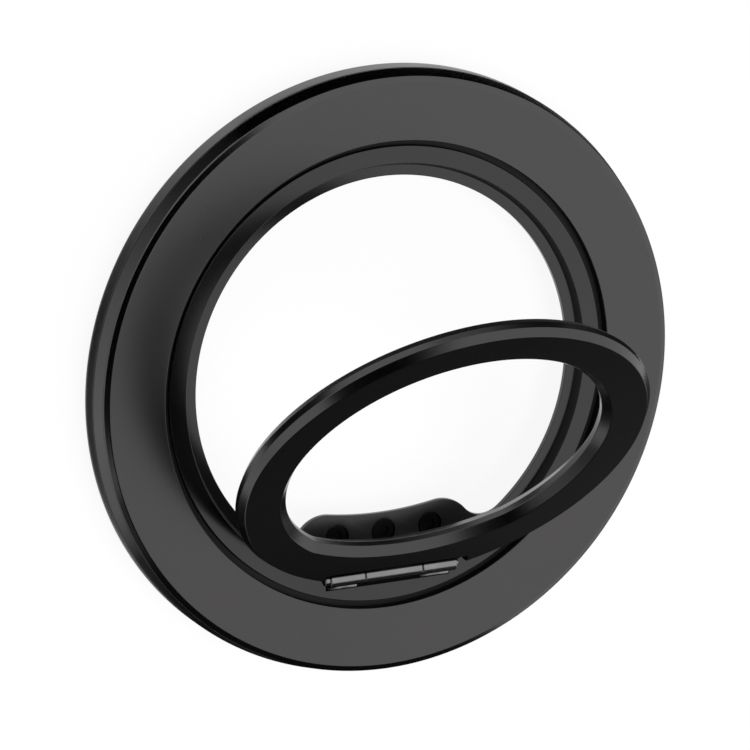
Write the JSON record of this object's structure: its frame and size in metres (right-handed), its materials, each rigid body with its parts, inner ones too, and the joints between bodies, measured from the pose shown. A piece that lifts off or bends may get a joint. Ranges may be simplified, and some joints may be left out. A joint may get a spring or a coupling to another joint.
{
  "type": "magnetic phone ring mount",
  "caption": "Round magnetic ring mount for the back of a phone, with a turning inner carrier and a finger ring that folds out on a small knuckle hinge.",
  "frame": {"origin": "centre of the soft pad's face, which lies on the phone", "axes": "+Z along the ring's axis, out of the flat front face; the hinge is on the -Y side, its axis along +X"},
  "size_m": [0.058, 0.058, 0.0294],
  "materials": {
    "satin_black_shell": "satin black anodised",
    "black_moulding": "fine matt moulded",
    "soft_pad": "soft matt",
    "yoke_steel": "plain sheet",
    "black_carrier": "satin black",
    "slide_plastic": "smooth",
    "hinge_steel": "satin",
    "black_screws": "black oxide",
    "gloss_black_ring": "polished black",
    "magnet_plating": "nickel plated"
  },
  "bodies": {
    "magnet_base": {"front_shell": "satin_black_shell", "rear_shell": "black_moulding", "phone_pad": "soft_pad", "yoke_ring": "yoke_steel", "magnet_01": "magnet_plating", "magnet_02": "magnet_plating", "magnet_03": "magnet_plating", "magnet_04": "magnet_plating", "magnet_05": "magnet_plating", "magnet_06": "magnet_plating", "magnet_07": "magnet_plating", "magnet_08": "magnet_plating", "magnet_09": "magnet_plating", "magnet_10": "magnet_plating", "magnet_11": "magnet_plating", "magnet_12": "magnet_plating", "magnet_13": "magnet_plating", "magnet_14": "magnet_plating", "magnet_15": "magnet_plating", "magnet_16": "magnet_plating", "magnet_17": "magnet_plating", "magnet_18": "magnet_plating"},
    "carrier": {"carrier_ring": "black_carrier", "slide_ring": "slide_plastic", "hinge_bracket": "hinge_steel", "hinge_pin": "hinge_steel", "hinge_screws": "black_screws"},
    "ring": {"finger_ring": "gloss_black_ring", "ring_leaf": "hinge_steel", "leaf_rivets": "hinge_steel"}
  },
  "joints": [
    {"name": "swivel", "type": "hinge", "parent": "magnet_base", "child": "carrier", "pos_m": [0, 0, 0.00365], "axis": [0, 0, 1], "continuous": true},
    {"name": "ring_hinge", "type": "hinge", "parent": "carrier", "child": "ring", "pos_m": [0, -0.01888, 0.0045], "axis": [1, 0, 0], "range_deg": [-39.5, 130.5]}
  ]
}
